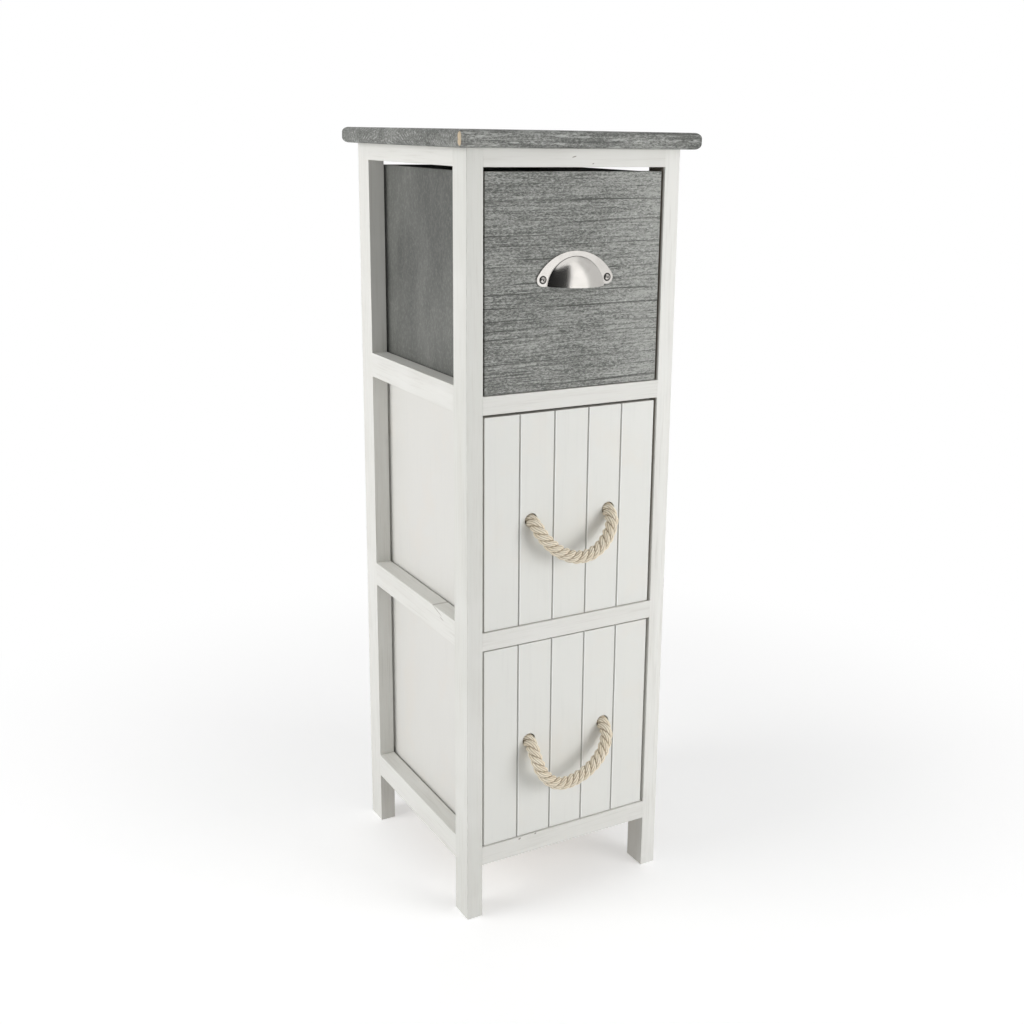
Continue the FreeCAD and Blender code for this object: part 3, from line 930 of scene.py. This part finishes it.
# %% [markdown]
# ## Satin nickel
# The cup pull and its two screws are plated and satin-brushed: bright, slightly warm, and
# smooth enough to mirror the room softly. In the photograph the hood mirrors as a dome
# would that is flatter than the ball it was built from, and metal shows such a difference
# at once. A material can't move the metal, but it can use the flatter form's normal.

# %% The hood's mirror
plate_thickness = 0.0015
hood_half_width, hood_height, hood_depth = 0.0315, 0.0285, 0.0250
hood_flattening = 0.7
hood_skin = (0.0007, 0.0004)


def hood_normal(finish, edges):
    """The normal that a flatter dome would have on the outside of the hood, and the given
    normal elsewhere. The hood is part of a ball through its foot's two ends, its crown and its
    front, and a flatter dome's normals point away from a middle further behind."""
    low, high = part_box("cup_pull")
    plate_face = high.y - plate_thickness
    behind = (hood_half_width**2 - hood_depth**2) / (2 * hood_depth)
    below = (hood_half_width**2 - hood_height**2) / (2 * hood_height)
    middle = (0.0, high.y + behind, low.z - below)
    radius = math.hypot(hood_half_width, behind, below)
    place = finish.place()
    _, y, _ = finish.parts(place)
    away = finish.vector("LENGTH", finish.vector("SUBTRACT", place, middle)[0])[1]
    before_plate = (plate_face - y).smooth(0.0, 0.0003)
    outside = away.smooth(radius - hood_skin[0], radius - hood_skin[1]) * before_plate
    flatter = (0.0, middle[1] + hood_flattening * radius, middle[2])
    dome = finish.vector("NORMALIZE", finish.vector("SUBTRACT", place, flatter)[0])[0]
    mixed = finish.node("Mix", {"data_type": "VECTOR"}, {0: outside, 4: edges, 5: dome})
    return finish.wire(mixed, 1)


print("hood:", 2 * hood_half_width, "m wide,", hood_depth, "m deep")

# %% [markdown]
# Painted shade darkens the metal round the screws, in their slots and along the crease
# between hood and plate.

# %% Nickel on the pull
nickel_warm = (0.730, 0.705, 0.670)
nickel_dull = (0.640, 0.615, 0.580)
painted_shade_dark = (0.025, 0.024, 0.022)
screw_head_radius = 0.0031
screw_shadow = 0.0040
plate_shade_rings = [(0.0, screw_shadow, 0.95)]
screw_shade_rings = [(-0.001, 0.0010, 0.9), (0.0026, screw_shadow, 0.8)]
inner_softness, outer_softness = 0.0002, 0.0003
crease_shade_reach = 0.0009


def pull_metal(name, rough, shade_rings, crease_shade_share=0.0, domed=False):
    """Satin nickel, with rings of painted shade round the two screws' axes: each ring is given as
    the inner radius, the outer radius and how dark it is. The crease where the hood meets its
    plate gets painted shade by its share, and a domed piece gets the hood's mirror."""
    finish = Finish(name)
    low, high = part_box("cup_pull_screws")
    screw_x = high.x - screw_head_radius
    screw_z = (low.z + high.z) / 2
    x, y, z = finish.parts()
    from_x, from_z = abs(x) - screw_x, z - screw_z
    from_axis = (from_x * from_x + from_z * from_z).math("SQRT")
    skin_parts = metal_skin(finish, "x", 1400.0)
    colour = finish.mix(skin_parts[1].smooth(0.45, 0.75) * 0.5, nickel_warm, nickel_dull)
    # Rings of painted shade round the screws and in their slots.
    for inner, outer, share in shade_rings:
        past_inner = from_axis.smooth(inner - inner_softness, inner + inner_softness)
        past_outer = from_axis.smooth(outer - outer_softness, outer + outer_softness)
        colour = finish.mix(past_inner * (1 - past_outer) * share, colour, painted_shade_dark)
    plate_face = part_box("cup_pull")[1].y - plate_thickness
    # Painted shade along the crease between hood and plate.
    crease = y.near(plate_face - crease_shade_reach, crease_shade_reach)
    colour = finish.mix(crease * crease_shade_share, colour, painted_shade_dark)
    edges = finish.soft_edges(metal_edge)
    if domed:
        edges = hood_normal(finish, edges)
    return metal_surface(finish, colour, rough, skin_parts, edges)


dress("cup_pull", pull_metal("satin_nickel", 0.13, plate_shade_rings, crease_shade_share=0.9, domed=True))
dress("cup_pull_screws", pull_metal("screw_nickel", 0.20, screw_shade_rings))
print("nickel on the pull and its screws")

# %% [markdown]
# ## Cotton
# The rope is undyed cotton: cream, with painted shade that darkens it between the yarns and
# makes it browner in the valleys between strands. The way along and around each strand is
# kept on the mesh, so the yarn lines follow the twist.

# %% The rope's cotton
cotton_cream = (0.940, 0.840, 0.670)
cotton_shade = (0.360, 0.270, 0.165)
cotton_pale = (0.980, 0.920, 0.790)
valley_shade_from, valley_shade_to = 0.36, 0.54


def cotton():
    """Cream cotton, with painted shade between the yarns and in the valleys between strands.
    The share of a turn round the strand is 0 on the rope's outside and a half on its inside.
    The yarn lines keep parallel to the rope, as the mesh's ridges do."""
    finish = Finish("cotton_rope")
    way = finish.node("Attribute", {"attribute_name": "rope_way"})
    along, around, _ = finish.parts(finish.wire(way, "Vector"))
    yarn_turns = (around - along * (1 / rope_lay)) * (yarn_count / 2)
    yarns = abs((yarn_turns * (2 * math.pi)).math("COSINE"))
    fuzz = finish.noise(finish.place(), 1300.0, 4.0, 0.75)
    cloud = finish.noise(finish.place(), 110.0, 3.0)
    valley_shade = (abs(around) * 2).smooth(valley_shade_from, valley_shade_to)
    colour = finish.mix(cloud.smooth(0.36, 0.70) * 0.65, cotton_cream, cotton_pale)
    # Painted shade between the yarns.
    colour = finish.mix((1 - yarns.smooth(0.05, 0.60)) * 0.75, colour, cotton_shade)
    colour = finish.mix((1 - fuzz.smooth(0.32, 0.50)) * 0.25, colour, cotton_shade)
    # Painted shade in the valleys between strands.
    colour = finish.mix(valley_shade * 0.85, colour, cotton_shade)
    normal = finish.bump(yarns * 0.5 + fuzz, 0.75, 0.0007)
    sheen = {"Sheen_Weight": 0.10, "Sheen_Roughness": 0.6}
    return finish.surface(colour, 0.92, normal, Specular_IOR_Level=0.15, **sheen)


rope_cotton = cotton()
print("cotton:", rope_cotton.name)

# %% [markdown]
# Each rope and its knots move with their drawer and stand for the plain bars of the frame.

# %% Put the ropes on their drawers
for name in rope_lines:
    for piece in (rope_pieces[name], *knot_pieces[name]):
        piece.data.materials.append(rope_cotton)
        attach(piece, f"{name}_drawer")
    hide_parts(f"{name}_rope_handle")
    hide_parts(f"{name}_rope_knots")
    line = rope_lines[name]

# %% [markdown]
# ## A pale studio
# The floor is white, and so is the sky behind it, which is the backdrop. Near the cabinet
# the floor keeps its shadow, and further out it fades to plain white for the camera and the
# metal.

# %% The floor
floor_size = 12.0
floor_white = (0.80, 0.80, 0.80)
floor_grain = (0.78, 0.78, 0.78)
floor_glow = 0.37
white_from, white_to = 0.30, 0.95


def camera_sees(finish):
    """1 for rays from the camera, off metal or through glass, otherwise 0."""
    path = finish.node("LightPath")
    seen = [finish.wire(path, key) for key in ("Is Camera Ray", "Is Glossy Ray", "Is Transmission Ray")]
    return (seen[0] + seen[1] + seen[2]).capped()


def floor_finish():
    """Matt white that takes the shadow, with a little light of its own, and pure white further
    out. Only the camera and the metal see that light: none of it falls on the cabinet."""
    finish = Finish("studio_floor")
    x, y, _ = finish.parts()
    shade = finish.mix(finish.noise(finish.place(), 8.0, 2.0) * 0.5, floor_white, floor_grain)
    matt = finish.node("BsdfDiffuse", {}, {"Color": shade})
    seen = camera_sees(finish)
    glow = finish.node("Emission", {}, {"Color": (1.0, 1.0, 1.0), "Strength": seen * floor_glow})
    near = finish.node("AddShader", {}, {0: finish.wire(matt), 1: finish.wire(glow)})
    far = finish.node("Emission", {}, {"Color": (1.0, 1.0, 1.0)})
    away = (x * x + y * y).math("SQRT").smooth(white_from, white_to)
    both = finish.node("MixShader", {}, {0: away * seen, 1: finish.wire(near), 2: finish.wire(far)})
    finish.node("OutputMaterial", {}, {"Surface": finish.wire(both)})
    return finish.material


def flat_card(name, corners, material):
    """One rectangle of the studio. It isn't part of the cabinet."""
    card = new_piece(name, np.array(corners), [[0, 1, 2, 3]])
    card.data.materials.append(material)
    return card


half_floor = floor_size / 2
floor_corners = [(x * half_floor, y * half_floor, 0) for x, y in ((-1, -1), (1, -1), (1, 1), (-1, 1))]
flat_card("studio_floor", floor_corners, floor_finish())
print("floor:", floor_size, "m wide")

# %% [markdown]
# Metal shows its surroundings and little else. The pull mirrors a dark place on the left,
# a bright one in front and a grey one on the right, so four cards stand there. The dark
# card in front has a leaning edge, which the round hood mirrors as an upright one. Only
# reflections see the cards, and they take no light from anything. A card is given by its
# brightness, both ends of its foot, its lowest and highest Z, and its second edge's lean.

# %% The cards
cards = {
    "dark_side_card": (0.02, (-1.3, -1.90), (-1.3, 1.4), (0.0, 2.8), 0.0),
    "dark_front_card": (0.02, (-1.3, -1.90), (-0.40, -1.78), (0.0, 2.8), 0.62),
    "bright_card": (1.35, (-0.50, -1.94), (1.10, -1.94), (0.3, 3.2), 0.0),
    "grey_card": (0.72, (1.07, -1.70), (1.9, 1.6), (0.0, 2.8), 0.0),
}


def reflected_card(name, corners, grey):
    """A card that only reflections see."""
    finish = Finish(f"{name}_paper")
    tone = finish.mix(finish.noise(finish.place(), 1.5, 1.0) * 0.3, (grey,) * 3, (grey * 0.8,) * 3)
    paper = finish.node("Emission", {}, {"Color": tone})
    finish.node("OutputMaterial", {}, {"Surface": finish.wire(paper)})
    card = flat_card(name, corners, finish.material)
    card.visible_camera = False
    card.visible_diffuse = False
    card.visible_transmission = False
    card.visible_shadow = False
    return card


for name, (grey, first, last, (low, high), lean) in cards.items():
    head = (last[0] + lean, last[1], high)
    reflected_card(name, [(*first, low), (*last, low), head, (*first, high)], grey)
print("cards:", list(cards))

# %% [markdown]
# In the photograph the fronts are lit from the front right, a little below the upper
# drawer, and the left side from the left, while the inner faces of the rear posts, which
# neither light reaches, are much darker. So there are two large soft lamps and an even sky.
# A lamp is given by its place, its size in metres and its power in watts.

# %% The lamps and the sky
cabinet_middle = (0.0, 0.0, 0.42)
lamps = {
    "front_right_softbox": ((1.05, -1.55, 0.62), 1.1, 18.0),
    "left_softbox": ((-2.1, 0.35, 0.95), 1.3, 27.0),
}
sky_light = 0.44


def make_lamp(name, place, size, power):
    """A square soft lamp at a place, turned to face the cabinet. Metal doesn't mirror it."""
    data = bpy.data.lights.new(name, "AREA")
    data.shape = "SQUARE"
    data.size = size
    data.energy = power
    lamp = bpy.data.objects.new(name, data)
    lamp.location = place
    lamp.rotation_mode = "QUATERNION"
    lamp.rotation_quaternion = (Vector(cabinet_middle) - Vector(place)).to_track_quat("-Z", "Y")
    lamp.visible_glossy = False
    bpy.context.scene.collection.objects.link(lamp)


def make_sky():
    """An even sky: its weak light for surfaces, plain white for what sees it directly."""
    world = bpy.data.worlds.new("studio")
    bpy.context.scene.world = world
    sky = Finish("studio", world)
    strength = camera_sees(sky) * (1 - sky_light) + sky_light
    light = sky.node("Background", {}, {"Color": (1.0, 1.0, 1.0), "Strength": strength})
    sky.node("OutputWorld", {}, {"Surface": sky.wire(light)})


make_sky()
for name, (place, size, power) in lamps.items():
    make_lamp(name, place, size, power)
print("lamps:", list(lamps))

# %% [markdown]
# ## Close the scene
# The plain view transform keeps colours as they are written.

# %% View transform
bpy.context.scene.view_settings.view_transform = "Standard"
